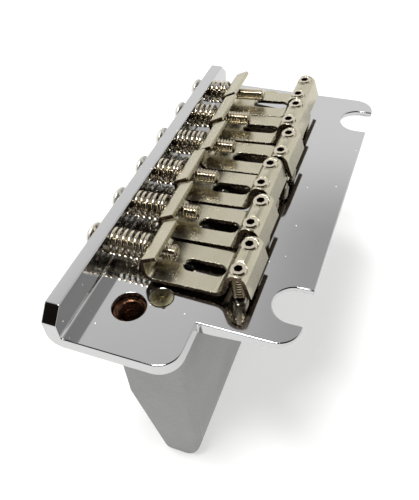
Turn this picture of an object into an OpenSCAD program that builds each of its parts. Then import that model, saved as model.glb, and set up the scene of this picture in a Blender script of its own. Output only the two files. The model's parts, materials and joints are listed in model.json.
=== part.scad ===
// Six-string guitar tremolo bridge: a bent steel plate that rocks on two knife-edge notches,
// six bent saddles on intonation screws, and an inertia block that hangs under the plate.
// X runs across the strings toward the arm side, Y toward the neck, Z up from the plate's top face.
// Y = 0 is the line through the centres of the two pivot notches.

/* [Pivots and strings] */
// Distance between the centres of the two pivot notches
post_spacing = 56.4; // [52:0.1:60]
// Radius of the pivot notches
notch_r = 3.85; // [3:0.05:4.5]
// Height of the upright wall of a notch above its undercut
notch_land = 1.0; // [0.6:0.1:1.4]
// Distance between neighbouring strings
string_pitch = 10.48; // [10:0.01:11]

/* [Plate] */
// Thickness of the plate
plate_t = 2.7; // [2:0.1:4]
// Plate beyond the centre of a notch, toward each side
plate_side = 8.55; // [7:0.05:12]
// Plate in front of the notch centres
plate_front = 2.45; // [1.5:0.05:3.5]
// How far the arm side's tab stands out past the rest of the plate
tab_out = 9.95; // [8:0.05:14]
// Distance from the notch centres back to the front edge of the tab
tab_back = 14.5; // [12:0.1:18]
// Corner radius at the front of the plate
front_corner_r = 4.2; // [2:0.1:4.3]
// Corner radius of the tab
tab_corner_r = 4.2; // [2:0.1:6]
// Thickness that the underside's bevel leaves at the front edge
front_edge_t = 1.1; // [0.8:0.1:2]
// Length of the bevel under the front edge
bevel_run = 14.5; // [8:0.1:16]

/* [Flange] */
// Distance from the notch centres back to the inner face of the flange
flange_back = 34.9; // [33:0.1:40]
// Thickness of the flange
flange_t = 2.8; // [2:0.1:4]
// Height of the flange above the plate's top face
flange_h = 5.9; // [5.5:0.1:8]
// Outer radius of the bend
bend_r = 2.9; // [2.8:0.1:3.2]
// Inner radius of the bend
fold_r = 0.5; // [0.2:0.1:0.7]
// Width of the bevel at the flange's upper corners
flange_bevel_w = 2.5; // [1:0.1:5]
// Height of the bevel at the flange's upper corners
flange_bevel_h = 2.6; // [1:0.1:4]

/* [Holes] */
// Radius of the string holes
string_hole_r = 1.6; // [1.2:0.1:1.8]
// Width of the bevel round a string hole
string_hole_bevel = 0.4; // [0.2:0.1:0.5]
// Distance from the notch centres back to the string holes
string_hole_back = 21.2; // [20:0.1:22]
// Radius of the arm's hole in the plate
arm_hole_r = 3.1; // [3.1:0.1:3.6]
// Distance from the tab's side edge to the centre of the arm's hole
arm_edge = 9.7; // [8:0.1:12]
// Distance from the notch centres back to the arm's hole
arm_back = 26.9; // [25:0.1:28]

/* [Block] */
// Height of the block under the plate
block_h = 40; // [30:0.5:50]
// Distance from the notch centres back to the block's front face
block_back = 15; // [13:0.1:16]
// Thickness of the block
block_t = 13.6; // [13:0.1:16]
// Extra thickness of the block's head, which takes the arm's bushing
head_extra = 2.6; // [2.2:0.1:5]
// Height of the block's head
head_h = 7.2; // [5:0.1:10]
// Height at which the back of the block starts to slant, under the plate
slant_start = 19; // [15:0.5:24]
// How far the slant brings the back forward
slant_in = 4.9; // [3:0.1:5.2]
// Radius of the foot's back edge
foot_r = 1.5; // [0.5:0.1:2]
// Depth of the foot's rounded nose, front to back
nose_d = 4.0; // [2:0.1:4.5]
// Height of the foot's rounded nose
nose_h = 8.8; // [4:0.1:12]
// Distance from the tab's side edge in to the block's end
block_near_in = 5.5; // [4:0.1:6]
// Distance from the plate's far edge in to the block's end
block_far_in = 1.75; // [1:0.05:3]
// Radius of the block's upright corners
block_corner_r = 2.0; // [0.5:0.1:2.5]
// Radius of the wells that the strings' ball ends sit in
ball_well_r = 2.0; // [1.9:0.1:2.2]
// Depth of the narrow string bores, from the block's top
string_bore_depth = 14; // [6:0.5:25]
// Number of holes for the hooks of the long springs
hook_holes = 5; // [3:1:5]
// Radius of the hook holes
hook_hole_r = 1.15; // [0.8:0.05:1.3]
// Depth of the hook holes
hook_hole_depth = 8; // [4:0.5:12]

/* [Block screws] */
// Distance from a notch centre out to the outer block screws
block_screw_out = 5.3; // [3.6:0.1:5.6]
// Distance from the notch centres back to the block screws
block_screw_back = 22.3; // [21:0.1:24]
// Radius of a block screw's head
block_head_r = 2.1; // [1.9:0.1:2.9]
// Height of the head's cone
block_head_h = 0.9; // [0.6:0.1:1.8]
// Radius of a block screw's shank
block_shank_r = 1.3; // [1.2:0.1:1.8]
// Length of a block screw under its head
block_shank_len = 12; // [8:0.5:16]

/* [Arm bushing] */
// Wall of the bushing
bushing_wall = 0.62; // [0.4:0.02:0.8]
// Radius of the bushing's threaded bore
bushing_bore_r = 2.4; // [2:0.1:2.4]
// How far the bushing's rim lies under the plate's top face
bushing_drop = 1.0; // [0.5:0.1:1.6]
// Length of the bushing
bushing_len = 8.6; // [6:0.1:8.8]

/* [Intonation screws] */
// Diameter of an intonation screw
screw_d = 2.845; // [2.4:0.005:3]
// Length of a screw under its head
screw_len = 16.3; // [14:0.1:18]
// Radius of a screw's head
screw_head_r = 2.7; // [2.2:0.1:3.2]
// Height of a screw's head
screw_head_h = 1.8; // [1.4:0.1:2.4]
// Height of the upright edge under the head's dome
screw_head_edge = 0.4; // [0.3:0.1:1]
// Height of the screws above the plate, where they cross the flange
screw_z = 3.5; // [3.4:0.1:3.9]
// Tilt of each string's screw and saddle, from the arm side's string
tilts = [2, 3.5, 4.5, 4.5, 5.3, 4.7];

/* [Springs] */
// Length of each spring between flange and saddle, from the arm side's string
spring_lens = [8.0, 6.9, 5.7, 6.5, 5.3, 4.6];
// Thickness of the spring wire
wire_d = 0.6; // [0.5:0.02:0.64]
// Gap between a screw and the inside of its spring
spring_slack = 0.62; // [0.3:0.02:0.8]
// Smallest gap that the curls leave between them
curl_gap = 0.43; // [0.42:0.01:1]

/* [Saddles] */
// Gap between neighbouring saddles
saddle_gap = 0.48; // [0.3:0.02:1]
// Thickness of the saddles' sheet
sheet_t = 0.85; // [0.7:0.05:0.9]
// Outer radius of the bend from a saddle's floor to its back wall
rear_bend_r = 2.2; // [2:0.1:2.5]
// Height of the upright part of the back wall above the saddle's underside
wall_top = 4.2; // [4.1:0.05:4.5]
// Outer radius of the bend from the back wall to the lip
lip_bend_r = 1.3; // [1.2:0.1:1.6]
// Angle of the lip, from level
lip_rise = 22; // [15:1:40]
// Length of the straight lip
lip_run = 2.6; // [1:0.1:3.2]
// Amount that the lip narrows on each side
lip_narrow = 0.25; // [0:0.05:0.8]
// Height of the intonation screw above the saddle's underside
saddle_hole_z = 3.2; // [3.1:0.05:3.3]
// Overall length of a saddle
saddle_len = 20.15; // [19:0.05:23]
// Height of the crown above the saddle's underside
crown_h = 5.85; // [5.6:0.05:6.5]
// Outer radius of the crown's two bends
crown_bend_r = 1.9; // [1.8:0.05:2.2]
// Length of the flat top between the crown's two bends
crown_flat = 0.2; // [0.1:0.1:0.6]
// Angle that the front wall leans back from upright
front_lean = 12; // [6:1:16]
// Angle of the crown's back wall, from level
crown_lean = 75; // [70:1:85]
// Radius of the sheet's centre line where the crown meets the floor
sweep_r = 2.0; // [1:0.1:2.5]
// Height of the front wall's lower edge above the saddle's underside
front_lift = 0.9; // [0:0.1:1.5]
// Width of the string slot
slot_w = 2.9; // [2:0.1:3.4]
// Distance from the back of the saddle to the slot
slot_start = 5.9; // [4.5:0.1:6.5]
// Length of the string slot
slot_len = 8.0; // [6:0.1:8.2]

/* [Height screws] */
// Diameter of a height screw
height_d = 2.845; // [2.4:0.005:2.9]
// Sheet left beside a height screw's hole
height_side_wall = 0.55; // [0.4:0.05:0.8]
// How far a height screw's top stands above the crown
height_proud = 0.1; // [0:0.05:0.5]
// Radius of the rounded point of a height screw
point_r = 2.2; // [1.6:0.1:4]

/* [Fits] */
// Clearance round a screw in the hole that it is threaded into
thread_gap = 0.05; // [0.02:0.01:0.08]
// Clearance round an intonation screw in the flange
flange_hole_gap = 0.28; // [0.26:0.01:0.5]
// Clearance round an intonation screw in the saddle's back
saddle_hole_gap = 0.34; // [0.33:0.01:0.4]
// Gap between a screw's head and the back of the flange
head_gap = 0.42; // [0.4:0.01:0.6]
// Gap between a height screw's point and the plate
point_gap = 0.18; // [0.16:0.01:0.3]
// Gap at each end of a spring
spring_end_gap = 0.08; // [0.05:0.01:0.15]
// Gap round the fixed screws and the bushing
seat_gap = 0.04; // [0.02:0.01:0.08]

/* [Hidden] */

$fn = 48;
past = 1;
strings = 6;

body_half = post_spacing / 2 + plate_side;
tab_x = body_half + tab_out;
rear_y = -flange_back - flange_t;
pivot_y = -flange_back - flange_t / 2;

arm_x = tab_x - arm_edge;
bushing_r = bushing_bore_r + bushing_wall;
block_near_x = tab_x - block_near_in;
block_far_x = -body_half + block_far_in;
block_rear_y = -block_back - block_t;
foot_z = -plate_t - block_h;
block_screw_xs = [post_spacing / 2 + block_screw_out, 0, -post_spacing / 2 - block_screw_out];
block_screw_names = ["block_screw_treble", "block_screw_middle", "block_screw_bass"];
hook_y = -string_hole_back + ball_well_r + hook_hole_r / 2;

screw_r = screw_d / 2;
height_r = height_d / 2;
saddle_w = string_pitch - saddle_gap;
height_x = saddle_w / 2 - height_side_wall - thread_gap - height_r;
side_names = ["treble", "bass"];

wire_sides = 6;
curl_rings = 8;
coil_r = screw_r + spring_slack + wire_d / 2;

// Place of string i across the bridge, counted from the arm side
function string_x(i) = ((strings - 1) / 2 - i) * string_pitch;

// Distance along a screw from its crossing of the flange to the back of the saddle
function saddle_at(i) = flange_t / 2 + spring_lens[i];

// Points of an arc round [y, z], from angle a0 to a1 in n steps
function arc(c, r, a0, a1, n) = [for (k = [0:n]) c + r * [cos(a0 + (a1 - a0) * k / n), sin(a0 + (a1 - a0) * k / n)]];

// Extrudes a [y, z] outline along X
module along_x(x0, x1) {
    translate([x0, 0, 0]) rotate([90, 0, 90]) linear_extrude(x1 - x0) children();
}

// Extrudes an [x, z] outline along Y
module along_y(y0, y1) {
    translate([0, y1, 0]) rotate([90, 0, 0]) linear_extrude(y1 - y0) children();
}

// A rectangle whose two front corners are rounded
module front_rounded(x0, x1, y0, y1, r) {
    translate([x0, y0]) square([x1 - x0, y1 - y0 - r]);
    translate([x0 + r, y0]) square([x1 - x0 - 2 * r, y1 - y0]);
    for (x = [x0 + r, x1 - r]) translate([x, y1 - r]) circle(r);
}

// Frame of string i: Y runs along the intonation screw from its crossing of the flange
module string_frame(i) {
    translate([string_x(i), pivot_y, screw_z]) rotate([tilts[i], 0, 0]) children();
}

// Lies along Y instead of Z
module lie_along_y() {
    rotate([-90, 0, 0]) children();
}

// Outline of the plate from above, with its tab and open pivot notches
module plate_outline() {
    difference() {
        union() {
            front_rounded(-body_half, body_half, rear_y - past, plate_front, front_corner_r);
            front_rounded(0, tab_x, rear_y - past, -tab_back, tab_corner_r);
        }
        for (side = [-1, 1]) translate([side * post_spacing / 2, 0]) {
            circle(notch_r);
            translate([-notch_r, 0]) square([2 * notch_r, plate_front + past]);
        }
    }
}

// Side view of the sheet: flat plate, bend and upright flange
module plate_side_view() {
    translate([rear_y + bend_r, -plate_t]) square([plate_front - rear_y - bend_r + past, plate_t]);
    translate([rear_y, bend_r - plate_t]) square([flange_t, flange_h + plate_t - bend_r]);
    intersection() {
        translate([rear_y + bend_r, bend_r - plate_t]) circle(bend_r);
        translate([rear_y, -plate_t]) square([bend_r, bend_r]);
    }
    difference() {
        translate([-flange_back - past, -past]) square([past + fold_r, past + fold_r]);
        translate([-flange_back + fold_r, fold_r]) circle(fold_r);
    }
}

// Flange seen from behind, with its two upper corners bevelled
module flange_outline() {
    polygon([
        [-body_half, -plate_t - past], [tab_x, -plate_t - past],
        [tab_x, flange_h - flange_bevel_h], [tab_x - flange_bevel_w, flange_h],
        [-body_half + flange_bevel_w, flange_h], [-body_half, flange_h - flange_bevel_h]
    ]);
}

// Cut that thins the front of the plate from below, so that the notches meet the posts on an edge
module front_bevel() {
    along_x(-body_half - past, tab_x + past) polygon([
        [plate_front + past, -front_edge_t], [plate_front, -front_edge_t],
        [plate_front - bevel_run, -plate_t],
        [plate_front - bevel_run, -plate_t - past], [plate_front + past, -plate_t - past]
    ]);
    for (side = [-1, 1]) translate([side * post_spacing / 2, 0, -plate_t - past])
        cylinder(h = plate_t - notch_land + past, r1 = notch_r + plate_t - notch_land + past, r2 = notch_r);
}

// Seat of a countersunk block screw, with clearance g round the screw
module screw_seat(g) {
    translate([0, 0, -block_head_h - g])
        cylinder(h = block_head_h + g, r1 = block_shank_r + g, r2 = block_head_r + g);
    translate([0, 0, -block_head_h - block_shank_len - g])
        cylinder(h = block_shank_len + past, r = block_shank_r + g);
}

module base_plate() {
    color("silver") difference() {
        intersection() {
            translate([0, 0, -plate_t - past]) linear_extrude(plate_t + flange_h + 2 * past) plate_outline();
            along_x(-body_half - past, tab_x + past) plate_side_view();
            along_y(rear_y - past, plate_front + past) flange_outline();
        }
        front_bevel();
        for (i = [0:strings - 1]) {
            translate([string_x(i), -string_hole_back, -plate_t - past])
                cylinder(h = plate_t + 2 * past, r = string_hole_r);
            translate([string_x(i), -string_hole_back, -string_hole_bevel])
                cylinder(h = string_hole_bevel, r1 = string_hole_r, r2 = string_hole_r + string_hole_bevel);
            translate([string_x(i), rear_y - past, screw_z])
                lie_along_y() cylinder(h = flange_t + 2 * past, r = screw_r + flange_hole_gap);
        }
        translate([arm_x, -arm_back, -plate_t - past]) cylinder(h = plate_t + 2 * past, r = arm_hole_r);
        for (x = block_screw_xs) translate([x, -block_screw_back, 0]) screw_seat(seat_gap);
    }
}

// Side view of the block: deeper head, slanted back, rounded foot
module block_side_view() {
    slant_z = foot_z + foot_r;
    foot_y = block_rear_y + slant_in;
    lean = atan2(slant_in, block_h - slant_start);
    nose = [for (k = [0:8]) [-block_back - nose_d + nose_d * sin(90 * k / 8), foot_z + nose_h - nose_h * cos(90 * k / 8)]];
    polygon(concat(
        [[block_rear_y - head_extra, -plate_t], [block_rear_y - head_extra, -plate_t - head_h],
         [block_rear_y, -plate_t - head_h - head_extra], [block_rear_y, -plate_t - slant_start]],
        arc([foot_y + foot_r, slant_z], foot_r, 180 + lean, 270, 6),
        nose,
        [[-block_back, -plate_t]]
    ));
}

// The block from above, with soft upright corners
module block_outline() {
    y0 = block_rear_y - head_extra;
    translate([block_far_x + block_corner_r, y0])
        square([block_near_x - block_far_x - 2 * block_corner_r, -block_back - y0]);
    translate([block_far_x, y0 + block_corner_r])
        square([block_near_x - block_far_x, -block_back - y0 - 2 * block_corner_r]);
    for (x = [block_far_x + block_corner_r, block_near_x - block_corner_r])
        for (y = [y0 + block_corner_r, -block_back - block_corner_r])
            translate([x, y]) circle(block_corner_r);
}

module inertia_block() {
    color("gray") difference() {
        intersection() {
            along_x(block_far_x, block_near_x) block_side_view();
            translate([0, 0, foot_z - past]) linear_extrude(block_h + plate_t + past) block_outline();
        }
        for (i = [0:strings - 1]) translate([string_x(i), -string_hole_back, 0]) {
            translate([0, 0, -plate_t - string_bore_depth - past])
                cylinder(h = string_bore_depth + 2 * past, r = string_hole_r);
            translate([0, 0, foot_z - past])
                cylinder(h = block_h - string_bore_depth + past, r = ball_well_r);
        }
        for (k = [0:hook_holes - 1])
            translate([((hook_holes - 1) / 2 - k) * string_pitch, hook_y, foot_z - past])
                cylinder(h = hook_hole_depth + past, r = hook_hole_r);
        translate([arm_x, -arm_back, -bushing_drop - bushing_len - seat_gap])
            cylinder(h = bushing_len + past, r = bushing_r + seat_gap);
        for (x = block_screw_xs) translate([x, -block_screw_back, 0]) screw_seat(seat_gap);
    }
}

module arm_bushing() {
    color("peru") translate([arm_x, -arm_back, -bushing_drop - bushing_len]) difference() {
        cylinder(h = bushing_len, r = bushing_r);
        translate([0, 0, -past]) cylinder(h = bushing_len + 2 * past, r = bushing_bore_r);
    }
}

module block_screw(k) {
    color("dimgray") translate([block_screw_xs[k], -block_screw_back, 0]) screw_seat(0);
}

// Runs and bends of the saddle's sheet from the front wall back to the lip:
// straight run, radius of the centre line, turn to the left in degrees
crown_mid_z = crown_h - sheet_t / 2;
crown_r = crown_bend_r - sheet_t / 2;
front_y = saddle_len - sheet_t / 2 * cos(front_lean);
front_run = (crown_mid_z - crown_r * (1 - sin(front_lean)) - front_lift) / cos(front_lean);
height_y = front_y - front_run * sin(front_lean) - crown_r * cos(front_lean) - crown_flat / 2;
back_wall_drop = crown_mid_z - sheet_t / 2 - (crown_r + sweep_r) * (1 - cos(crown_lean));
back_wall_run = back_wall_drop / sin(crown_lean);
floor_start = height_y - crown_flat / 2
    - (crown_r + sweep_r) * sin(crown_lean) - back_wall_run * cos(crown_lean);
saddle_bends = [
    [front_run, crown_r, 90 - front_lean],
    [crown_flat, crown_r, crown_lean],
    [back_wall_run, sweep_r, -crown_lean],
    [floor_start - rear_bend_r, rear_bend_r - sheet_t / 2, -90],
    [wall_top - rear_bend_r, lip_bend_r - sheet_t / 2, lip_rise - 90],
    [lip_run, 0, 0]
];

// Points and headings of the centre line: each run, then its bend in steps of about 10 degrees
function walk(bends, p, heading, k = 0) =
    k == len(bends) ? [[p, heading]] :
    let (
        run = bends[k][0], r = bends[k][1], turn = bends[k][2],
        q = p + run * [cos(heading), sin(heading)],
        side = sign(turn),
        c = q + side * r * [-sin(heading), cos(heading)],
        n = ceil(abs(turn) / 10),
        bend = [for (j = [1:n - 1]) let (h = heading + turn * j / n) [c + side * r * [sin(h), -cos(h)], h]],
        end_h = heading + turn,
        end_p = turn == 0 ? q : c + side * r * [sin(end_h), -cos(end_h)]
    )
    concat([[p, heading]], turn == 0 ? [] : [[q, heading]], bend, walk(bends, end_p, end_h, k + 1));

// Side view of a saddle, with its back at y = 0 and its underside at z = 0
module saddle_side_view() {
    line = walk(saddle_bends, [front_y, front_lift], 90 + front_lean);
    left = [for (s = line) s[0] + sheet_t / 2 * [-sin(s[1]), cos(s[1])]];
    right = [for (s = line) s[0] - sheet_t / 2 * [-sin(s[1]), cos(s[1])]];
    polygon(concat(left, [for (k = [len(right) - 1:-1:0]) right[k]]));
}

// The string slot, round at both ends, cut through the floor and into the foot of the crown's back wall
module string_slot() {
    for (y = [slot_start + slot_w / 2, slot_start + slot_len - slot_w / 2])
        translate([0, y, -past]) cylinder(h = saddle_hole_z + past, r = slot_w / 2);
    translate([-slot_w / 2, slot_start + slot_w / 2, -past])
        cube([slot_w, slot_len - slot_w, saddle_hole_z + past]);
}

// Wedges that narrow the lip toward its edge
module lip_trim() {
    along_y(-past, slot_start) for (side = [-1, 1]) polygon([
        [side * saddle_w / 2, wall_top], [side * (saddle_w / 2 + past), wall_top],
        [side * (saddle_w / 2 + past), crown_h + past], [side * (saddle_w / 2 - lip_narrow), crown_h + past]
    ]);
}

module saddle(i) {
    color("tan") string_frame(i) translate([0, saddle_at(i), -saddle_hole_z]) difference() {
        along_x(-saddle_w / 2, saddle_w / 2) saddle_side_view();
        string_slot();
        lip_trim();
        translate([0, -past, saddle_hole_z])
            lie_along_y() cylinder(h = slot_start + past, r = screw_r + saddle_hole_gap);
        for (x = [-height_x, height_x]) translate([x, height_y, -past])
            cylinder(h = crown_h + 2 * past, r = height_r + thread_gap);
    }
}

// Screw with a domed head; the thread stays a plain cylinder
module intonation_screw(i) {
    dome_h = screw_head_h - screw_head_edge;
    dome_r = (screw_head_r ^ 2 + dome_h ^ 2) / (2 * dome_h);
    under_head = flange_t / 2 + head_gap;
    color("lightgray") string_frame(i) translate([0, -under_head, 0]) {
        lie_along_y() cylinder(h = screw_len, r = screw_r);
        intersection() {
            translate([0, -screw_head_h, 0]) lie_along_y() cylinder(h = screw_head_h, r = screw_head_r);
            translate([0, dome_r - screw_head_h, 0]) sphere(dome_r);
        }
    }
}

// Length of the wound part of spring i, its turns in halves, and its pitch
function wound(i) = spring_lens[i] - 2 * spring_end_gap - 2 * wire_d;
function turns(i) = floor(2 * wound(i) / (wire_d + curl_gap)) / 2;
function pitch(i) = wound(i) / turns(i);

// Centre line of spring i: a straight end at each side and a helix round the screw
function coil_line(i) =
    let (n = turns(i) * curl_rings, y0 = flange_t / 2 + spring_end_gap)
    concat(
        [[coil_r, y0, 0]],
        [for (k = [0:n]) [
            coil_r * cos(360 * k / curl_rings),
            y0 + wire_d + pitch(i) * k / curl_rings,
            coil_r * sin(360 * k / curl_rings)]],
        [[coil_r * cos(360 * turns(i)), y0 + 2 * wire_d + wound(i), 0]]
    );

function unit(v) = v / norm(v);

// Rings of wire_sides points round the line, each square to the line there
function rings(line) = [for (k = [0:len(line) - 1])
    let (
        ahead = unit(line[min(k + 1, len(line) - 1)] - line[min(k, len(line) - 2)]),
        behind = unit(line[max(k, 1)] - line[max(k - 1, 0)]),
        t = unit(ahead + behind),
        out = unit([line[k][0], 0, line[k][2]]),
        u = unit(out - (out * t) * t),
        v = cross(t, u)
    )
    [for (j = [0:wire_sides - 1]) let (a = 360 * j / wire_sides)
        line[k] + wire_d / 2 * (cos(a) * u + sin(a) * v)]];

// One closed tube through the rings, all its faces triangles
module tube(line) {
    r = rings(line);
    n = len(line);
    s = wire_sides;
    points = [for (ring = r) each ring];
    sides = [for (k = [0:n - 2]) for (j = [0:s - 1]) let (a = k * s + j, b = k * s + (j + 1) % s)
        each [[a, b, b + s], [a, b + s, a + s]]];
    caps = [for (j = [1:s - 2]) each [[0, j + 1, j], [(n - 1) * s, (n - 1) * s + j, (n - 1) * s + j + 1]]];
    polyhedron(points, concat(sides, caps));
}

// Least distance between parts of the centre line that are half a turn or more apart, less the wire
function own_gap(line) = min([for (a = [0:len(line) - 1]) for (b = [a + curl_rings / 2:1:len(line) - 1])
    norm(line[a] - line[b])]) - wire_d;

module spring(i) {
    echo(str("spring_", i + 1, " turns ", turns(i), " least gap to itself ", own_gap(coil_line(i))));
    color("gainsboro") string_frame(i) tube(coil_line(i));
}

// Height screw of string i: it stands on the plate and passes through the crown
module height_screw(i, side) {
    y = saddle_at(i) + height_y;
    top = crown_h - saddle_hole_z + height_proud;
    point_mid = (point_gap + point_r - screw_z - y * sin(tilts[i])) / cos(tilts[i]);
    color("whitesmoke") string_frame(i) translate([side * height_x, y, 0]) intersection() {
        translate([0, 0, point_mid - point_r]) cylinder(h = top - point_mid + point_r, r = height_r);
        union() {
            translate([0, 0, point_mid]) sphere(point_r);
            translate([0, 0, point_mid]) cylinder(h = top - point_mid, r = point_r);
        }
    }
}

base_plate();
inertia_block();
arm_bushing();
for (k = [0:len(block_screw_xs) - 1])
    block_screw(k);
for (i = [0:strings - 1]) {
    saddle(i);
    intonation_screw(i);
    spring(i);
    for (k = [0, 1])
        height_screw(i, 1 - 2 * k);
}
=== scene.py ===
import json
import math

import bmesh
import bpy
from mathutils import Matrix, Vector


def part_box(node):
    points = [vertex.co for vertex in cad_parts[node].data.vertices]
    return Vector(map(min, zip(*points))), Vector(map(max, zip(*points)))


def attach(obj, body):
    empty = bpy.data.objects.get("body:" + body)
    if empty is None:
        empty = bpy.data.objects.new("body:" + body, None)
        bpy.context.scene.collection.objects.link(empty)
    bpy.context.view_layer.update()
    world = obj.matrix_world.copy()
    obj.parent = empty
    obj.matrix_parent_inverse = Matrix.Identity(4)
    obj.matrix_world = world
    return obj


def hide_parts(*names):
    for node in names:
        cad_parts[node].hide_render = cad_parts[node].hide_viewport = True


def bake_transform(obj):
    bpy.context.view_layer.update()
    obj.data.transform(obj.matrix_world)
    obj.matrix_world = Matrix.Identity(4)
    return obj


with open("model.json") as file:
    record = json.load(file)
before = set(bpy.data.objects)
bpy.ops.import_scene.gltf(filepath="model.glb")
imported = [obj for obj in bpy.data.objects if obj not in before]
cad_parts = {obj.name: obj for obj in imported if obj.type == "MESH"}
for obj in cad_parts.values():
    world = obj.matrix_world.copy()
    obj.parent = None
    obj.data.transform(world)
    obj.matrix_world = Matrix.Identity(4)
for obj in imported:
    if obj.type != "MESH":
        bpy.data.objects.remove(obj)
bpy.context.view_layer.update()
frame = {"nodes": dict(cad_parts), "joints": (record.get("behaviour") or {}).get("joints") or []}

MM = 0.001


# Base plate: one steel sheet, bent up at the back, with two half-round pivot notches in front.
# Pressed and milled steel, its edges broken by tumbling, buffed and chrome plated.
# The block screws hold it to the inertia block.
PLATE_EDGE, PLATE_HOLE_EDGE = 0.25 * MM, 0.12 * MM
DUST_SPACING, DUST_SIZE, DUST_SHARE = 2.2 * MM, 0.06, 0.45
# In a CAD mesh, points this near are one point, and faces that turn less than this are one face
SAME_POINT = 2e-6
SAME_PLANE = math.radians(0.6)
# A bend's facets are narrower than this; a crease and a sharp edge turn by these degrees at least
FACET_BREADTH = 1.5 * MM
CREASE_FROM, SHARP_FROM = 2, 28
# An outline ends at a corner and is curved above the second angle; a long or open one is broken wider
CORNER_FROM, BEND_FROM = math.radians(30), math.radians(1)
OPEN_CURVE = 3.5 * MM
LONG_OUTLINE = 30 * MM
# Noise seldom leaves this range
NOISE_LOW, NOISE_HIGH = 0.3, 0.7


def linear(code):
    """An sRGB hex colour such as D9DADC, as Blender's linear colour."""
    parts = [int(code[k:k + 2], 16) / 255 for k in (0, 2, 4)]
    return tuple(v / 12.92 if v <= 0.04045 else ((v + 0.055) / 1.055) ** 2.4 for v in parts) + (1.0,)


def add(tree, kind, inputs=None, **settings):
    """Adds a node. inputs gives values, nodes (their first output) or sockets, by input name or index."""
    made = tree.nodes.new(kind)
    for name, value in settings.items():
        setattr(made, name, value)
    for key, value in (inputs or {}).items():
        if isinstance(value, bpy.types.Node):
            value = value.outputs[0]
        if isinstance(value, bpy.types.NodeSocket):
            tree.links.new(value, made.inputs[key])
        else:
            made.inputs[key].default_value = value
    return made


def calc(tree, operation, *values):
    """A maths node that works on values, nodes or sockets."""
    return add(tree, "ShaderNodeMath", dict(enumerate(values)), operation=operation)


def mixed(tree, factor, first, second):
    """The colour that lies between two colours by a factor from 0 to 1."""
    return add(tree, "ShaderNodeMix", {"Factor": factor, 6: first, 7: second}, data_type="RGBA").outputs[2]


def coat(name, colour, roughness, metallic=1.0):
    """A new finish: its material, node tree and shader, with object coordinates in metres."""
    material = bpy.data.materials.new(name)
    material.use_nodes = True
    tree = material.node_tree
    shader = tree.nodes["Principled BSDF"]
    shader.inputs["Base Color"].default_value = linear(colour)
    shader.inputs["Metallic"].default_value = metallic
    shader.inputs["Roughness"].default_value = roughness
    return material, tree, shader, add(tree, "ShaderNodeTexCoord").outputs["Object"]


def vary(tree, place, size, low, high, detail=2.0):
    """Noise with features of a size in metres, mapped to the range from low to high."""
    noise = add(tree, "ShaderNodeTexNoise", {"Vector": place, "Scale": 1 / size, "Detail": detail})
    spread = add(tree, "ShaderNodeMapRange", {"Value": noise, "From Min": NOISE_LOW, "From Max": NOISE_HIGH,
                                              "To Min": low, "To Max": high})
    return spread.outputs[0]


def relief(tree, place, shader, size, detail, strength, depth):
    """Gives a shader a fine relief of noise, with its features' size and depth in metres."""
    noise = add(tree, "ShaderNodeTexNoise", {"Vector": place, "Scale": 1 / size, "Detail": detail})
    bump = add(tree, "ShaderNodeBump", {"Strength": strength, "Distance": depth, "Height": noise})
    tree.links.new(bump.outputs[0], shader.inputs["Normal"])


def placed(name, data):
    """An object of a mesh, lamp or camera, linked to the scene at the origin."""
    made = bpy.data.objects.new(name, data)
    bpy.context.scene.collection.objects.link(made)
    return made


def outlines(sharp):
    """Sorts sharp edges into outlines without corners: the edges of each and its least radius."""
    left, found = set(sharp), []
    while left:
        # A metre stands for the radius of a straight outline
        run, least = [left.pop()], 1.0
        for edge in run:
            for corner in edge.verts:
                follows = [e for e in corner.link_edges if e in sharp and e is not edge]
                if len(follows) != 1:
                    continue
                here = edge.other_vert(corner).co - corner.co
                there = follows[0].other_vert(corner).co - corner.co
                turn = math.pi - here.angle(there)
                if turn > CORNER_FROM:
                    continue
                if turn > BEND_FROM:
                    least = min(least, min(here.length, there.length) / turn)
                if follows[0] in left:
                    left.remove(follows[0])
                    run.append(follows[0])
        found.append((run, least))
    return found


def finished(name, source, width, narrow, material, segments=1):
    """A copy of a CAD node's mesh with broken edges: a width for outlines and a narrow one for holes."""
    shape = bmesh.new()
    shape.from_mesh(source.data)
    bmesh.ops.remove_doubles(shape, verts=shape.verts, dist=SAME_POINT)
    bmesh.ops.dissolve_limit(shape, angle_limit=SAME_PLANE, verts=shape.verts, edges=shape.edges)
    for edge in shape.edges:
        # Two broad faces keep a crease between them; the narrow facets of a bend shade as one round
        breadth = min(f.calc_area() / max(e.calc_length() for e in f.edges) for f in edge.link_faces)
        turn = math.degrees(edge.calc_face_angle(0))
        edge.smooth = breadth < FACET_BREADTH or not CREASE_FROM < turn < SHARP_FROM
    weight = shape.edges.layers.float.new("bevel_weight_edge")
    sharp = {e for e in shape.edges if e.is_manifold and math.degrees(e.calc_face_angle(0)) > SHARP_FROM}
    for run, least in outlines(sharp):
        # One width for a whole outline, since two widths that meet in a straight line fold the faces there
        wide = least > OPEN_CURVE or sum(e.calc_length() for e in run) > LONG_OUTLINE
        for edge in run:
            edge[weight] = 1.0 if wide else narrow / width
    for face in shape.faces:
        face.smooth = True
    mesh = bpy.data.meshes.new(name)
    shape.to_mesh(mesh)
    shape.free()
    rough = placed(name + "_rough", mesh)
    bevel = rough.modifiers.new("broken edges", "BEVEL")
    bevel.width = width
    bevel.segments = segments
    bevel.limit_method = "WEIGHT"
    bevel.use_clamp_overlap = False
    bevel.loop_slide = False
    flat = rough.modifiers.new("flat faces stay flat", "WEIGHTED_NORMAL")
    flat.keep_sharp = True
    return settle(name, rough, material)


def settle(name, rough, material):
    """Turns an object with modifiers into a plain mesh piece at the origin."""
    bpy.context.view_layer.update()
    mesh = bpy.data.meshes.new_from_object(rough.evaluated_get(bpy.context.evaluated_depsgraph_get()))
    mesh.materials.clear()
    mesh.materials.append(material)
    piece = placed(name, mesh)
    bpy.data.objects.remove(rough)
    mesh.name = name
    return piece


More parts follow.
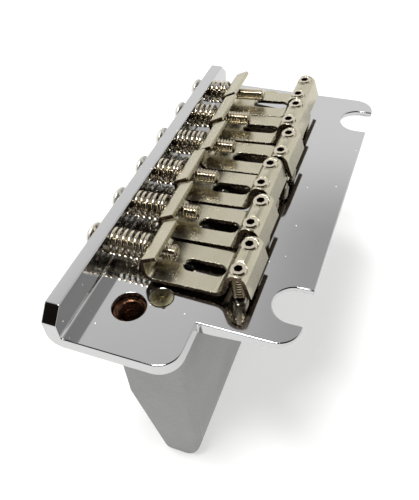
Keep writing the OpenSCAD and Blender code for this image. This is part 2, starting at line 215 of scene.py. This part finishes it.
# Polished chrome: near-neutral mirror, faint orange peel from buffing, a few dust specks.
chrome, tree, shader, place = coat("polished_chrome_plating", "C7C7C7", 0.07)
tree.links.new(vary(tree, place, 4 * MM, 0.05, 0.10), shader.inputs["Roughness"])
relief(tree, place, shader, 1.6 * MM, 1.0, 0.25, 2e-6)
cells = add(tree, "ShaderNodeTexVoronoi", {"Vector": place, "Scale": 1 / DUST_SPACING})
grain = calc(tree, "LESS_THAN", cells.outputs["Distance"], DUST_SIZE)
chosen = add(tree, "ShaderNodeSeparateColor", {0: cells.outputs["Color"]})
few = calc(tree, "LESS_THAN", chosen, DUST_SHARE)
dust = calc(tree, "MULTIPLY", grain, few)
bare = calc(tree, "SUBTRACT", 1.0, dust)
tree.links.new(bare.outputs[0], shader.inputs["Metallic"])
tree.links.new(mixed(tree, dust, linear("C7C7C7"), linear("F2F0EA")), shader.inputs["Base Color"])

plate = finished("plate_chromed", frame["nodes"]["base_plate"], PLATE_EDGE, PLATE_HOLE_EDGE, chrome, 2)
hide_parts("base_plate")
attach(plate, "base")


# Inertia block: a heavy casting under the plate, whose mass feeds the strings.
# Die cast, milled flat on its ends and foot, bead blasted and painted a matt grey.
# It hangs on three countersunk screws, with a bore for each string and holes for the long springs' hooks.
BLOCK_EDGE, BLOCK_HOLE_EDGE = 0.18 * MM, 0.05 * MM

# Bead-blasted grey paint: matt and a little cloudy, with a fine grit.
blasted, tree, shader, place = coat("bead_blasted_grey_paint", "808080", 0.5, 0.0)
cloud = vary(tree, place, 7 * MM, 0.0, 1.0, 3.0)
grit = vary(tree, place, 0.35 * MM, 0.0, 1.0)
tone = mixed(tree, cloud, linear("7B7B7A"), linear("858584"))
tree.links.new(mixed(tree, grit, linear("777776"), tone), shader.inputs["Base Color"])
relief(tree, place, shader, 0.3 * MM, 3.0, 0.5, 2e-5)

block = finished("block_blasted", frame["nodes"]["inertia_block"], BLOCK_EDGE, BLOCK_HOLE_EDGE, blasted)
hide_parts("inertia_block")
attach(block, "base")


# Intonation screws: steel machine screws, 4-40, that set each saddle along its string.
# The thread is rolled and the domed head is forged with a cross recess, then nickel plated bright.
# Each passes through the flange and its spring and is threaded into the back of its saddle.
SCREW_R = 1.4225 * MM
THREAD_PITCH = 0.635 * MM
THREAD_DEPTH = 0.39 * MM
SCREW_ROOT = SCREW_R - THREAD_DEPTH
HEAD_H, HEAD_EDGE, HEAD_ROUND = 1.8 * MM, 0.4 * MM, 0.12 * MM
DOME_RINGS = 8
HEAD_SLACK = 0.1 * MM
TIP = 0.1 * MM
RECESS_W, RECESS_DEPTH = 3.0 * MM, 1.3 * MM
DOME_SINK = 0.06 * MM
# A turn of a thread is a grid of this many columns and rows, with spare turns before its start and in all
COLUMNS = 36
ROWS = 8
LEAD_IN, SPARE_TURNS = 1.5, 2.5
# The flank of a thread runs between these shares of its pitch, from the crest down to the root
CREST, ROOT = 0.08, 0.4
ANGLES = [2 * math.pi * k / COLUMNS for k in range(COLUMNS)]


def new_group(name, inputs):
    """An empty geometry node tree with named inputs, each with its kind, and the sockets of those inputs."""
    group = bpy.data.node_groups.new(name, "GeometryNodeTree")
    for label, kind in inputs.items():
        group.interface.new_socket(name=label, in_out="INPUT", socket_type="NodeSocket" + kind)
    group.interface.new_socket(name="Geometry", in_out="OUTPUT", socket_type="NodeSocketGeometry")
    return group, add(group, "NodeGroupInput").outputs


thread, given = new_group("thread skin", {
    "Geometry": "Geometry", "Radius": "Float", "Depth": "Float", "Pitch": "Float", "Length": "Float",
    "Foot Radius": "Float", "Top Radius": "Float", "Rows": "Int", "Material": "Material"})
grid = add(thread, "GeometryNodeMeshGrid", {"Size X": 1.0, "Size Y": 1.0, "Vertices X": COLUMNS + 1,
                                            "Vertices Y": given["Rows"]})
corner = add(thread, "ShaderNodeSeparateXYZ", {0: add(thread, "GeometryNodeInputPosition")})
share = calc(thread, "ADD", corner.outputs[0], 0.5)
last_row = calc(thread, "SUBTRACT", given["Rows"], 1.0)
up_share = calc(thread, "ADD", corner.outputs[1], 0.5)
row = calc(thread, "ROUND", calc(thread, "MULTIPLY", up_share, last_row))
turn_row = calc(thread, "MULTIPLY", row, 1 / ROWS)
lead = calc(thread, "ADD", turn_row, share)
lead_less = calc(thread, "SUBTRACT", lead, LEAD_IN)
height = calc(thread, "MULTIPLY", lead_less, given["Pitch"])
phase = calc(thread, "PINGPONG", turn_row, 0.5)
flank = add(thread, "ShaderNodeMapRange", {"Value": phase, "From Min": CREST, "From Max": ROOT})
sunk = calc(thread, "MULTIPLY", flank, given["Depth"])
wall = calc(thread, "SUBTRACT", given["Radius"], sunk)
below = calc(thread, "LESS_THAN", height, 0.0)
above = calc(thread, "GREATER_THAN", height, given["Length"])
foot_mix = add(thread, "ShaderNodeMix", {"Factor": below, 2: wall, 3: given["Foot Radius"]})
end_mix = add(thread, "ShaderNodeMix", {"Factor": above, 2: foot_mix, 3: given["Top Radius"]})
level = add(thread, "ShaderNodeClamp", {0: height, 1: 0.0, 2: given["Length"]})
angle = calc(thread, "MULTIPLY", share, 2 * math.pi)
at_x = calc(thread, "MULTIPLY", calc(thread, "COSINE", angle), end_mix)
at_y = calc(thread, "MULTIPLY", calc(thread, "SINE", angle), end_mix)
at = add(thread, "ShaderNodeCombineXYZ", {0: at_x, 1: at_y, 2: level})
skin = add(thread, "GeometryNodeSetPosition", {"Geometry": grid, "Position": at})
welded = add(thread, "GeometryNodeMergeByDistance", {"Geometry": skin, "Distance": 1e-6})
plain = add(thread, "GeometryNodeRealizeInstances", {"Geometry": welded})
coated = add(thread, "GeometryNodeSetMaterial", {"Geometry": plain, "Material": given["Material"]})
add(thread, "NodeGroupOutput", {0: coated})


def by_nodes(name, group, values):
    """The mesh that a geometry node tree makes from named values."""
    rough = placed(name, bpy.data.meshes.new(name))
    modifier = rough.modifiers.new(name, "NODES")
    modifier.node_group = group
    for socket in group.interface.items_tree:
        if socket.in_out == "INPUT" and socket.name in values:
            modifier[socket.identifier] = values[socket.name]
    bpy.context.view_layer.update()
    mesh = bpy.data.meshes.new_from_object(rough.evaluated_get(bpy.context.evaluated_depsgraph_get()))
    bpy.data.objects.remove(rough)
    return mesh


def add_thread(shape, start, length, radius, depth, pitch, foot, top, material):
    """Adds a thread from a height on to a bmesh, open at both ends, where its rim has foot and top radius."""
    rows = math.ceil(length / pitch + SPARE_TURNS) * ROWS + 1
    mesh = by_nodes("thread", thread, {"Radius": radius, "Depth": depth, "Pitch": pitch, "Length": length,
                                       "Foot Radius": foot, "Top Radius": top, "Rows": rows,
                                       "Material": material})
    mesh.transform(Matrix.Translation((0, 0, start)))
    shape.from_mesh(mesh)


def ring(radius, z):
    """Points of one round ring of a turned shape."""
    return [Vector((radius * math.cos(a), radius * math.sin(a), z)) for a in ANGLES]


def hexagon(across, z):
    """Points of one six-sided ring; across is its width over the flats."""
    points = []
    for a in ANGLES:
        radius = across / 2 / math.cos((a + math.pi / 6) % (math.pi / 3) - math.pi / 6)
        points.append(Vector((radius * math.cos(a), radius * math.sin(a), z)))
    return points


def turned(shape, rings, cap=None):
    """Adds a skin through rings of points to a bmesh; cap is the index of a ring to close."""
    loops = [[shape.verts.new(p) for p in r] for r in rings]
    for low, high in zip(loops, loops[1:]):
        for k in range(COLUMNS):
            shape.faces.new((low[k], low[(k + 1) % COLUMNS], high[(k + 1) % COLUMNS], high[k]))
    if cap is not None:
        shape.faces.new(loops[cap])


def piece_of(name, shape, place, material, smooth):
    """Makes a piece of a bmesh, put at its place and smoothed up to an angle in degrees."""
    bmesh.ops.remove_doubles(shape, verts=shape.verts, dist=1.5e-6)
    bmesh.ops.recalc_face_normals(shape, faces=shape.faces)
    bmesh.ops.transform(shape, matrix=place, verts=shape.verts)
    mesh = bpy.data.meshes.new(name)
    shape.to_mesh(mesh)
    shape.free()
    mesh.shade_smooth()
    mesh.set_sharp_from_angle(angle=math.radians(smooth))
    mesh.materials.append(material)
    return placed(name, mesh)


def standing(origin, up):
    """A place at origin whose Z points along up, with X kept across the strings."""
    x = Vector((1, 0, 0))
    return Matrix.Translation(origin) @ Matrix((x, up.cross(x), up)).transposed().to_4x4()


def reach(node, origin, along):
    """The least and greatest distance of a CAD node's points from origin, along a direction."""
    spots = [(v.co - origin).dot(along) for v in frame["nodes"][node].data.vertices]
    return min(spots), max(spots)


def cross_recess(piece, place, width, depth):
    """Cuts a cross recess, narrowing inward, into a head whose top faces Z of its place."""
    arm, tip, slot = width / 2, width * 0.28, width * 0.13
    # Half length, half width and height of the cutter's ring over the head, at its face and at the bottom
    rings = ((arm * 1.12, slot * 1.15, 0.12 * MM), (arm, slot, 0), (tip, slot * 0.72, -depth))
    shape = bmesh.new()
    for turn in (0, 90):
        swing = Matrix.Rotation(math.radians(turn), 3, "Z")
        loops = []
        for half, side, z in rings:
            corners = [(half, side), (-half, side), (-half, -side), (half, -side)]
            loops.append([shape.verts.new(swing @ Vector((x, y, z))) for x, y in corners])
        for low, high in zip(loops, loops[1:]):
            for k in range(4):
                shape.faces.new((low[k], low[(k + 1) % 4], high[(k + 1) % 4], high[k]))
        shape.faces.new(loops[0])
        shape.faces.new(reversed(loops[-1]))
    bmesh.ops.recalc_face_normals(shape, faces=shape.faces)
    bmesh.ops.transform(shape, matrix=place, verts=shape.verts)
    mesh = bpy.data.meshes.new("cutter")
    shape.to_mesh(mesh)
    shape.free()
    cutter = placed("cutter", mesh)
    cut = piece.modifiers.new("recess", "BOOLEAN")
    cut.object = cutter
    cut.solver = "EXACT"
    cut.use_self = True
    name, material = piece.name, piece.data.materials[0]
    piece.name = name + "_uncut"
    made = settle(name, piece, material)
    bpy.data.objects.remove(cutter)
    return made


# Bright nickel: a warm mirror, slightly uneven from barrel plating.
# Painted shade darkens the broached sockets inside, from the mouth down, and the domed heads behind the
# flange are tumbled to a pale satin.
nickel, tree, shader, place = coat("bright_nickel_plating", "CFC6B4", 0.12)
# Painted shade in the sockets: the nickel turns dark brown and rougher from the socket's mouth down
socket_shade = add(tree, "ShaderNodeAttribute", attribute_name="socket shade").outputs["Fac"]
tone = mixed(tree, socket_shade, linear("CFC6B4"), linear("3A2A1C"))
back = add(tree, "ShaderNodeSeparateXYZ", {0: place}).outputs["Y"]
head_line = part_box("intonation_screw_1")[0].y + HEAD_H - HEAD_SLACK
head = calc(tree, "LESS_THAN", back, head_line)
tree.links.new(mixed(tree, head, tone, linear("DEDBD3")), shader.inputs["Base Color"])
uneven = vary(tree, place, 0.8 * MM, 0.08, 0.18)
tumbled = calc(tree, "MULTIPLY_ADD", head, 0.25, uneven)
rough = calc(tree, "MULTIPLY_ADD", socket_shade, 0.3, tumbled)
tree.links.new(rough.outputs[0], shader.inputs["Roughness"])

joints = {j["name"]: j for j in frame["joints"]}
strings = []
for n in range(1, 7):
    joint = joints[f"intonation_{n}"]
    origin, along = Vector(joint["pos_m"]), -Vector(joint["axis"]).normalized()
    node = f"intonation_screw_{n}"
    low, high = reach(node, origin, along)
    length = high - low
    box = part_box(node)
    head_r, dome_h = (box[1].x - box[0].x) / 2, HEAD_H - HEAD_EDGE
    dome_r = (head_r ** 2 + dome_h ** 2) / (2 * dome_h)
    dome = [math.asin(head_r / dome_r) * (1 - k / DOME_RINGS) for k in range(1, DOME_RINGS)]
    shape = bmesh.new()
    turned(shape, [ring(SCREW_ROOT, HEAD_H), ring(head_r - HEAD_ROUND, HEAD_H),
                   ring(head_r, HEAD_H - HEAD_ROUND), ring(head_r, dome_h)]
           + [ring(dome_r * math.sin(a), dome_r - dome_r * math.cos(a)) for a in dome], -1)
    turned(shape, [ring(SCREW_ROOT, length - TIP), ring(SCREW_ROOT - TIP, length)], -1)
    add_thread(shape, HEAD_H, length - HEAD_H - TIP, SCREW_R, THREAD_DEPTH, THREAD_PITCH, SCREW_ROOT,
               SCREW_ROOT, nickel)
    screw = piece_of(f"{node}_threaded", shape, standing(origin + along * low, along), nickel, smooth=50)
    crown = standing(origin + along * (low + DOME_SINK), -along)
    screw = cross_recess(screw, crown, RECESS_W, RECESS_DEPTH)
    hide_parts(node)
    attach(screw, node)
    strings.append((origin, along))


# Springs: hard-drawn steel wire, 0.6 mm thick, coiled right-handed with closed ends and nickel plated.
# Each is slipped over its screw and pushes its saddle away from the flange,
# so that the screw's head stays tight against the flange.
WIRE = 0.6 * MM
COIL_R = 2.34 * MM
END_PITCH = 0.66 * MM
MID_PITCH = 1.08 * MM
# Points in a turn of the coil, and sides of the wire
STEPS = 24
WIRE_SIDES = 12

coil, given = new_group("closed-end spring", {
    "Geometry": "Geometry", "Wire": "Float", "Coil Radius": "Float", "End Pitch": "Float",
    "Middle Pitch": "Float", "Middle Turns": "Float", "Points": "Int", "Material": "Material"})
line = add(coil, "GeometryNodeMeshLine", {"Count": given["Points"]})
turns = calc(coil, "MULTIPLY", add(coil, "GeometryNodeInputIndex"), 1 / STEPS)
first = calc(coil, "MINIMUM", turns, 1.0)
past_first = calc(coil, "SUBTRACT", turns, 1.0)
middle = add(coil, "ShaderNodeClamp", {0: past_first, 1: 0.0, 2: given["Middle Turns"]})
past_middle = calc(coil, "SUBTRACT", past_first, given["Middle Turns"])
closing = calc(coil, "MAXIMUM", past_middle, 0.0)
closed = calc(coil, "ADD", first, closing)
closed_rise = calc(coil, "MULTIPLY", closed, given["End Pitch"])
rise = calc(coil, "MULTIPLY_ADD", middle, given["Middle Pitch"], closed_rise)
sweep = calc(coil, "MULTIPLY", turns, 2 * math.pi)
side_x = calc(coil, "MULTIPLY", calc(coil, "COSINE", sweep), given["Coil Radius"])
side_y = calc(coil, "MULTIPLY", calc(coil, "SINE", sweep), given["Coil Radius"])
spot = add(coil, "ShaderNodeCombineXYZ", {0: side_x, 1: side_y, 2: rise})
helix = add(coil, "GeometryNodeSetPosition", {"Geometry": line, "Position": spot})
path = add(coil, "GeometryNodeMeshToCurve", {"Mesh": helix})
half_wire = calc(coil, "MULTIPLY", given["Wire"], 0.5)
section = add(coil, "GeometryNodeCurvePrimitiveCircle", {"Resolution": WIRE_SIDES, "Radius": half_wire})
wire = add(coil, "GeometryNodeCurveToMesh", {"Curve": path, "Profile Curve": section, "Fill Caps": True})
smooth = add(coil, "GeometryNodeSetShadeSmooth", {"Geometry": wire})
plain = add(coil, "GeometryNodeRealizeInstances", {"Geometry": smooth})
coated = add(coil, "GeometryNodeSetMaterial", {"Geometry": plain, "Material": given["Material"]})
add(coil, "NodeGroupOutput", {0: coated})

for n, (origin, along) in enumerate(strings, 1):
    low, high = reach(f"spring_{n}", origin, along)
    start, end = origin + along * (low + WIRE / 2), origin + along * (high - WIRE / 2)
    rest = high - low - WIRE - 2 * END_PITCH
    middle_turns = math.floor(2 * rest / MID_PITCH) / 2
    points = round((middle_turns + 2) * STEPS) + 1
    mesh = by_nodes("spring", coil, {"Wire": WIRE, "Coil Radius": COIL_R, "End Pitch": END_PITCH,
                                     "Middle Pitch": rest / middle_turns, "Middle Turns": middle_turns,
                                     "Points": points, "Material": nickel})
    mesh.transform(standing(start, along))
    spring = placed(f"spring_{n}_wound", mesh)
    mesh.name = spring.name
    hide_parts(f"spring_{n}")
    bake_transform(spring)


# Saddles: one strip of steel each, folded into a lip, a floor and a crown that carries the string.
# Pressed, pierced with a string slot and a screw hole, tapped twice in the crown,
# then tumbled, which rounds the edges, and plated in a warm satin nickel.
SADDLE_EDGE = 0.08 * MM

# Satin nickel: a warm, cloudy grey, with painted shade in a dark brown on the undersides and on the strip's
# sheared sides and other faces that look along X.
satin, tree, shader, place = coat("satin_nickel_plating", "C2BCA6", 0.26)
tree.links.new(vary(tree, place, 1.5 * MM, 0.23, 0.29), shader.inputs["Roughness"])
cloud = vary(tree, place, 5 * MM, 0.0, 1.0)
tone = mixed(tree, cloud, linear("BEB8A2"), linear("C7C1AC"))
normal = add(tree, "ShaderNodeSeparateXYZ", {0: add(tree, "ShaderNodeTexCoord").outputs["Normal"]}).outputs
# Painted shade: faces that look downward turn a dark brown
underside_shade = add(tree, "ShaderNodeMapRange", {"Value": normal["Z"], "From Min": -0.2, "From Max": -0.7})
underside_shaded = mixed(tree, underside_shade, tone, linear("5B4E3F"))
# Painted shade: faces that look along X, the strip's sheared sides among them, turn a dark brown
sideways = calc(tree, "ABSOLUTE", normal["X"])
cut = add(tree, "ShaderNodeMapRange", {"Value": sideways, "From Min": 0.75, "From Max": 0.95})
tree.links.new(mixed(tree, cut, underside_shaded, linear("6B5A4B")), shader.inputs["Base Color"])
relief(tree, place, shader, 0.25 * MM, 2.0, 0.05, 2e-6)

for n in range(1, 7):
    source = frame["nodes"][f"saddle_{n}"]
    saddle = finished(f"saddle_{n}_pressed", source, SADDLE_EDGE, SADDLE_EDGE, satin)
    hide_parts(f"saddle_{n}")
    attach(saddle, f"saddle_{n}")


# Height screws: headless steel screws, 4-40, two in each crown, that stand on the plate.
# A hexagon socket is broached in the top, the point is turned round,
# and all are nickel plated. Turning them raises or tips the saddle.
SOCKET, SOCKET_DEPTH, SOCKET_CONE, SOCKET_TIP = 1.4 * MM, 1.5 * MM, 0.3 * MM, 0.05 * MM
# The depth of the socket's rim ring, where its painted shade is full, and the radius that the painted shade
# reaches
SOCKET_RIM, SOCKET_SHADE_REACH = 0.1 * MM, 0.85 * MM
TOP_BAND = 0.01 * MM
POINT_H, CHAMFER = 0.55 * MM, 0.14 * MM
POINT_RINGS = 6


def mark_socket_shade(piece, place, radius, top, bottom):
    """Stores how deep each point near a place's axis lies, from 0 at a top height to 1 at a bottom one, which
    the nickel uses for the painted shade in a socket.
    """
    depth = piece.data.attributes.new("socket shade", "FLOAT", "POINT")
    back = place.inverted()
    for spot, value in zip(piece.data.vertices, depth.data):
        near = back @ spot.co
        if math.hypot(near.x, near.y) < radius:
            value.value = min(1, max(0, (near.z - top) / (bottom - top)))


point = [math.radians(90 * k / POINT_RINGS) for k in range(1, POINT_RINGS + 1)]
for n in range(1, 7):
    for side in ("treble", "bass"):
        node = f"height_screw_{n}_{side}"
        up = -Vector(joints[f"height_{n}_{side}"]["axis"]).normalized()
        low, high = reach(node, Vector(), up)
        top = [v.co for v in frame["nodes"][node].data.vertices if v.co.dot(up) > high - TOP_BAND]
        centre = sum(top, Vector()) / len(top)
        length = high - low
        bottom = length - SOCKET_DEPTH
        shape = bmesh.new()
        turned(shape, [ring(SCREW_R, length - CHAMFER), ring(SCREW_R - CHAMFER, length),
                       hexagon(SOCKET, length), hexagon(SOCKET, length - SOCKET_RIM),
                       hexagon(SOCKET, bottom), ring(SOCKET_TIP, bottom - SOCKET_CONE)], -1)
        turned(shape, [ring(SCREW_ROOT * math.sin(a), POINT_H * (1 - math.cos(a))) for a in point], 0)
        add_thread(shape, POINT_H, length - POINT_H - CHAMFER, SCREW_R, THREAD_DEPTH, THREAD_PITCH,
                   SCREW_ROOT, SCREW_R, nickel)
        foot = standing(centre - up * length, up)
        screw = piece_of(f"{node}_threaded", shape, foot, nickel, smooth=28)
        # Painted shade: the socket darkens from its mouth and is fully dark below its rim ring
        mark_socket_shade(screw, foot, SOCKET_SHADE_REACH, length, length - SOCKET_RIM)
        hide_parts(node)
        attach(screw, node)


# Block screws: three countersunk machine screws that hold the plate to the inertia block.
# Their heads have a cross recess and lie flush in the plate; the finish is a dull yellowish zinc.
# Only the one beside the arm's hole can be seen with the saddles on.
FIXING_R, FIXING_DEPTH, FIXING_PITCH = 1.3 * MM, 0.25 * MM, 0.45 * MM
FIXING_ROOT = FIXING_R - FIXING_DEPTH
CONE_H, PLAIN_H = 0.9 * MM, 0.4 * MM
RIM_H, RIM_W = 0.07 * MM, 0.06 * MM
ZINC_RECESS_W, ZINC_RECESS_DEPTH, ZINC_RECESS_TURN = 1.7 * MM, 0.5 * MM, math.radians(25)

# Yellow zinc: a dull straw colour, cloudy from the passivation.
zinc, tree, shader, place = coat("yellow_zinc_plating", "BDB591", 0.2)
tree.links.new(vary(tree, place, 0.6 * MM, 0.16, 0.24), shader.inputs["Roughness"])
cloud = vary(tree, place, 1.5 * MM, 0.0, 1.0)
tree.links.new(mixed(tree, cloud, linear("B5AD88"), linear("C6BE9C")), shader.inputs["Base Color"])

for side in ("treble", "middle", "bass"):
    node = f"block_screw_{side}"
    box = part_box(node)
    head_r, tall = (box[1].x - box[0].x) / 2, box[1].z - box[0].z
    foot = Vector(((box[0].x + box[1].x) / 2, (box[0].y + box[1].y) / 2, box[0].z))
    neck = tall - CONE_H - PLAIN_H
    shape = bmesh.new()
    turned(shape, [ring(FIXING_ROOT - TIP, 0), ring(FIXING_ROOT, TIP)], 0)
    turned(shape, [ring(FIXING_R, neck), ring(FIXING_R, tall - CONE_H), ring(head_r, tall - RIM_H),
                   ring(head_r - RIM_W, tall)], -1)
    add_thread(shape, TIP, neck - TIP, FIXING_R, FIXING_DEPTH, FIXING_PITCH, FIXING_ROOT, FIXING_R, zinc)
    screw = piece_of(f"{node}_threaded", shape, Matrix.Translation(foot), zinc, smooth=40)
    crown = Matrix.Translation(foot + Vector((0, 0, tall))) @ Matrix.Rotation(ZINC_RECESS_TURN, 4, "Z")
    screw = cross_recess(screw, crown, ZINC_RECESS_W, ZINC_RECESS_DEPTH)
    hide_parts(node)
    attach(screw, "base")


# Arm bushing: a threaded copper-alloy sleeve in the block, under the plate's hole, for the arm's thread.
# Turned from bar, tapped and pressed in.
# Handling has turned it a dark brown inside and left its rim bright.
BORE_R, ARM_PITCH, ARM_DEPTH = 2.4 * MM, 0.8 * MM, 0.3 * MM
BORE_CHAMFER, OUTER_CHAMFER = 0.2 * MM, 0.1 * MM

# Aged copper alloy: brown and blotchy where fingers and the arm have rubbed it.
copper, tree, shader, place = coat("aged_copper_alloy", "5A4030", 0.3)
tree.links.new(vary(tree, place, 0.6 * MM, 0.22, 0.42), shader.inputs["Roughness"])
cloud = vary(tree, place, 1.2 * MM, 0.0, 1.0)
tree.links.new(mixed(tree, cloud, linear("3E2C22"), linear("6E4C38")), shader.inputs["Base Color"])

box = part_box("arm_bushing")
tall, outer = box[1].z - box[0].z, (box[1].x - box[0].x) / 2
middle = Vector(((box[0].x + box[1].x) / 2, (box[0].y + box[1].y) / 2, box[0].z))
shape = bmesh.new()
turned(shape, [ring(BORE_R, tall - BORE_CHAMFER), ring(BORE_R + BORE_CHAMFER, tall),
               ring(outer - OUTER_CHAMFER, tall), ring(outer, tall - OUTER_CHAMFER),
               ring(outer, OUTER_CHAMFER), ring(outer - OUTER_CHAMFER, 0),
               ring(BORE_R + BORE_CHAMFER, 0), ring(BORE_R, BORE_CHAMFER)])
# An inner thread is an outer one turned inside out: a negative depth cuts into the bore's wall
add_thread(shape, BORE_CHAMFER, tall - 2 * BORE_CHAMFER, BORE_R - ARM_DEPTH, -ARM_DEPTH, ARM_PITCH, BORE_R,
           BORE_R, copper)
bushing = piece_of("bushing_tapped", shape, Matrix.Translation(middle), copper, smooth=40)
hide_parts("arm_bushing")
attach(bushing, "base")


# The studio: a plain white table, a white surround that is grey overhead, and soft lamps.
# The camera stands where the photographer's did, above the arm's end of the bridge.
TABLE_HALF = 4
# How far the table glows: as the metal mirrors it, and as the camera sees it near the bridge and far off
TABLE_GLOW = 0.72
NEAR_GLOW, FAR_GLOW = 0.4, 1.0
FADE_START, FADE_END = 0.14, 0.34
WHITE = (1, 1, 1, 1)


def smoothly(tree, value, start, end, low=0.0, high=1.0):
    """Goes from low to high while a value goes from start to end, with soft ends."""
    return add(tree, "ShaderNodeMapRange", {"Value": value, "From Min": start, "From Max": end, "To Min": low,
                                            "To Max": high}, interpolation_type="SMOOTHSTEP")


# Matt white table: it takes the soft shadow near the bridge, and farther off it burns out to plain white.
# In the metal it mirrors as a pale, even floor.
white = bpy.data.materials.new("white_table")
white.use_nodes = True
white.cycles.emission_sampling = "NONE"
tree = white.node_tree
tree.nodes.remove(tree.nodes["Principled BSDF"])
place = add(tree, "ShaderNodeTexCoord").outputs["Object"]
ray = add(tree, "ShaderNodeLightPath").outputs
by_mirror = calc(tree, "MAXIMUM", ray["Is Glossy Ray"], ray["Is Transmission Ray"])
away = add(tree, "ShaderNodeVectorMath", {0: place}, operation="LENGTH").outputs["Value"]
fade = smoothly(tree, away, FADE_START, FADE_END, NEAR_GLOW, FAR_GLOW)
direct = calc(tree, "MULTIPLY", ray["Is Camera Ray"], fade)
share = calc(tree, "MULTIPLY_ADD", by_mirror, TABLE_GLOW, direct)
matt = add(tree, "ShaderNodeBsdfDiffuse", {"Color": linear("F4F4F3")})
glow = add(tree, "ShaderNodeEmission", {"Color": WHITE, "Strength": 1.0})
both = add(tree, "ShaderNodeMixShader", {0: share, 1: matt, 2: glow})
tree.links.new(both.outputs[0], tree.nodes["Material Output"].inputs["Surface"])

bench_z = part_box("inertia_block")[0].z
corners = [(x * TABLE_HALF, y * TABLE_HALF, bench_z) for x, y in ((-1, -1), (1, -1), (1, 1), (-1, 1))]
mesh = bpy.data.meshes.new("table_top")
mesh.from_pydata(corners, [], [(0, 1, 2, 3)])
mesh.materials.append(white)
table = placed("table_top", mesh)

world = bpy.data.worlds.new("studio")
bpy.context.scene.world = world
world.use_nodes = True
tree = world.node_tree
tree.nodes.clear()
ray = add(tree, "ShaderNodeLightPath").outputs
toward = add(tree, "ShaderNodeTexCoord").outputs["Generated"]
upward = add(tree, "ShaderNodeSeparateXYZ", {0: toward}).outputs["Z"]
surround = add(tree, "ShaderNodeValToRGB", {0: upward})
ramp = surround.color_ramp.elements
ramp[0].position, ramp[0].color = 0.0, WHITE
ramp[1].position, ramp[1].color = 1.0, (0.55, 0.55, 0.55, 1)
for spot, grey in ((0.30, 1.0), (0.56, 1.0), (0.68, 0.92), (0.79, 0.79)):
    made = ramp.new(spot)
    made.color = (grey, grey, grey, 1)
# The ceiling in front of the bridge is greyer, which the plate mirrors toward its back
high = smoothly(tree, upward, 0.58, 0.71)
forward = add(tree, "ShaderNodeSeparateXYZ", {0: toward}).outputs["Y"]
front = smoothly(tree, forward, -0.3, -0.1)
shade = calc(tree, "MULTIPLY", high, front)
ceiling = mixed(tree, shade, surround.outputs[0], (0.52, 0.52, 0.52, 1))
# The photographer's side of the room is dark
dark_side = Vector((0.72, 0.26, 0.64)).normalized()
aim = add(tree, "ShaderNodeVectorMath", {0: toward, 1: dark_side}, operation="DOT_PRODUCT").outputs["Value"]
dark = smoothly(tree, aim, 0.28, 0.6)
room = mixed(tree, dark, ceiling, linear("1C1713"))
mirrored = add(tree, "ShaderNodeBackground", {"Color": room, "Strength": 1.0})
backdrop = add(tree, "ShaderNodeBackground", {"Color": WHITE, "Strength": 1.0})
seen = add(tree, "ShaderNodeMixShader", {0: ray["Is Camera Ray"], 1: mirrored, 2: backdrop})
add(tree, "ShaderNodeOutputWorld", {0: seen})

# Each lamp has its place, its size in metres, its watts, and whether the metal mirrors it
for name, spot, size, watts, in_metal in (("softbox_front", (-0.12, 0.42, 0.36), 0.30, 1.1, False),
                                          ("softbox_end", (0.40, 0.06, 0.03), 0.12, 0.6, False),
                                          ("softbox_back", (-0.10, -0.55, 0.22), 0.30, 2.4, False),
                                          ("lamp_above", (0.11, -0.08, 0.50), 0.16, 2.6, True)):
    lamp = bpy.data.lights.new(name, "AREA")
    lamp.shape, lamp.size, lamp.energy = "SQUARE", size, watts
    holder = placed(name, lamp)
    holder.location = spot
    holder.visible_glossy = in_metal
    holder.rotation_euler = (-Vector(spot)).to_track_quat("-Z", "Y").to_euler()

SEAT = Vector((88.962, 12.654, 77.768)) * MM
AIM = Vector((20.334, -18.331, 0)) * MM
ROLL = math.radians(-5.369)
sight = (AIM - SEAT).normalized()
level_right = sight.cross(Vector((0, 0, 1))).normalized()
level_up = level_right.cross(sight)
right = level_right * math.cos(ROLL) + level_up * math.sin(ROLL)
lens = bpy.data.cameras.new("camera")
lens.sensor_width, lens.lens = 36, 41.935
lens.clip_start, lens.clip_end = 0.002, 20
camera = placed("camera", lens)
turn = Matrix((right, right.cross(sight), -sight)).transposed().to_4x4()
camera.matrix_world = Matrix.Translation(SEAT) @ turn
bpy.context.scene.camera = camera
bpy.context.scene.view_settings.view_transform = "Standard"
